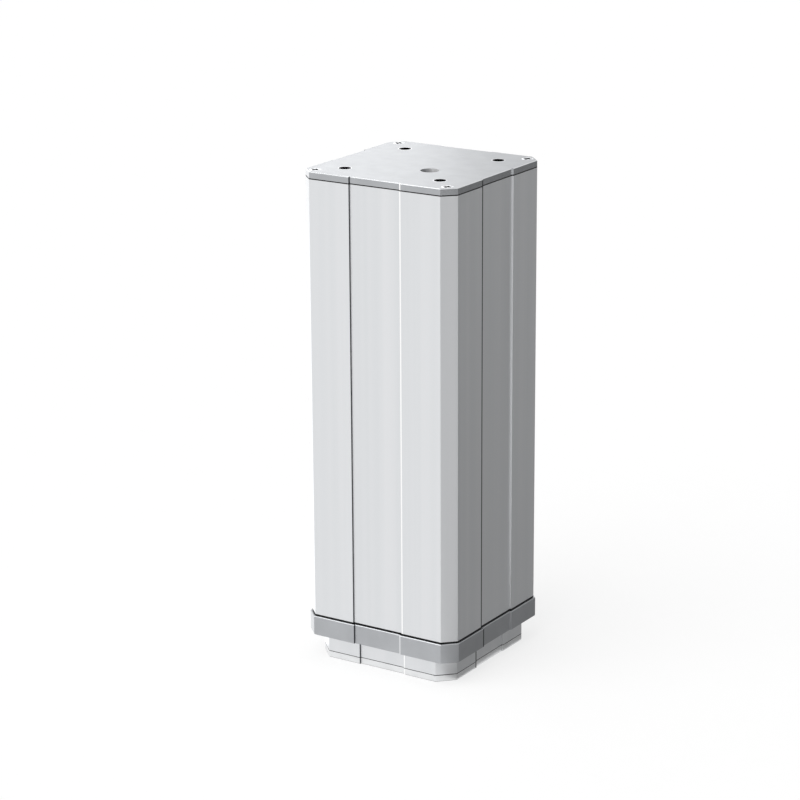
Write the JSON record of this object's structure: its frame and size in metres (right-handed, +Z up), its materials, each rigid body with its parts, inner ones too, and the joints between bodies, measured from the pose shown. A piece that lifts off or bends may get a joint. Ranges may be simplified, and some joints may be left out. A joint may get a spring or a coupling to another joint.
{
  "type": "electric lifting column",
  "caption": "Square telescoping electric lifting column: chamfered aluminium profiles, an internal spindle drive, and end plates with tapped mounting holes.",
  "frame": {"origin": "centre of the base plate's underside", "axes": "+Z up along the direction of travel, front at -Y, right side at +X"},
  "size_m": [0.153, 0.153, 0.435],
  "materials": {
    "profile": "extruded aluminium, natural anodised, fine lengthwise die lines",
    "plate": "rolled aluminium plate, natural anodised, satin",
    "base_plate": "rolled aluminium plate, bright natural anodised, satin",
    "collar": "aluminium, darker grey anodised, satin",
    "guide_plastic": "moulded black acetal",
    "glide_plastic": "moulded natural acetal",
    "buffer_rubber": "moulded black rubber",
    "screw_steel": "bright zinc plated steel",
    "drive_steel": "turned steel",
    "nut_brass": "turned bronze",
    "cast_block": "die cast aluminium, machined seats",
    "motor_paint": "drawn steel can, black coated",
    "spider_elastomer": "moulded red polyurethane"
  },
  "bodies": {
    "base": {"base_plate": "base_plate", "base_plate_screws": "screw_steel", "inner_profile": "profile", "upper_glide_pads": "glide_plastic", "end_stop_buffers": "buffer_rubber", "tube_foot": "drive_steel", "tube_foot_screws": "screw_steel", "push_tube": "drive_steel", "spindle_nut": "nut_brass", "safety_nut": "nut_brass"},
    "lift": {"top_plate": "plate", "top_plate_screws": "screw_steel", "outer_profile": "profile", "lower_guide": "guide_plastic", "collar": "collar", "collar_screws": "screw_steel", "wiper_seal": "buffer_rubber", "pillars": "drive_steel", "pillar_screws": "screw_steel", "bearing_block": "cast_block", "bearing_outer_rings": "drive_steel", "bearing_retainer": "drive_steel", "gearbox_housing": "cast_block", "gearbox_screws": "screw_steel", "motor_can": "motor_paint", "motor_end_cap": "guide_plastic", "motor_connector": "glide_plastic"},
    "spindle": {"spindle": "drive_steel", "spindle_stop": "screw_steel", "bearing_inner_rings": "drive_steel", "spindle_lock_nut": "drive_steel", "coupling_lower_hub": "cast_block", "coupling_spider": "spider_elastomer", "coupling_upper_hub": "cast_block", "output_shaft": "drive_steel"}
  },
  "joints": [
    {"name": "lift_slide", "type": "slide", "parent": "base", "child": "lift", "axis": [0, 0, 1], "range_m": [0, 0.2]},
    {"name": "spindle_spin", "type": "hinge", "parent": "lift", "child": "spindle", "pos_m": [0, 0, 0], "axis": [0, 0, 1], "range_deg": [0, 9000]}
  ],
  "couplings": [
    {"joint": "spindle_spin", "follows": "lift_slide", "rad_per_m": 785.4}
  ]
}
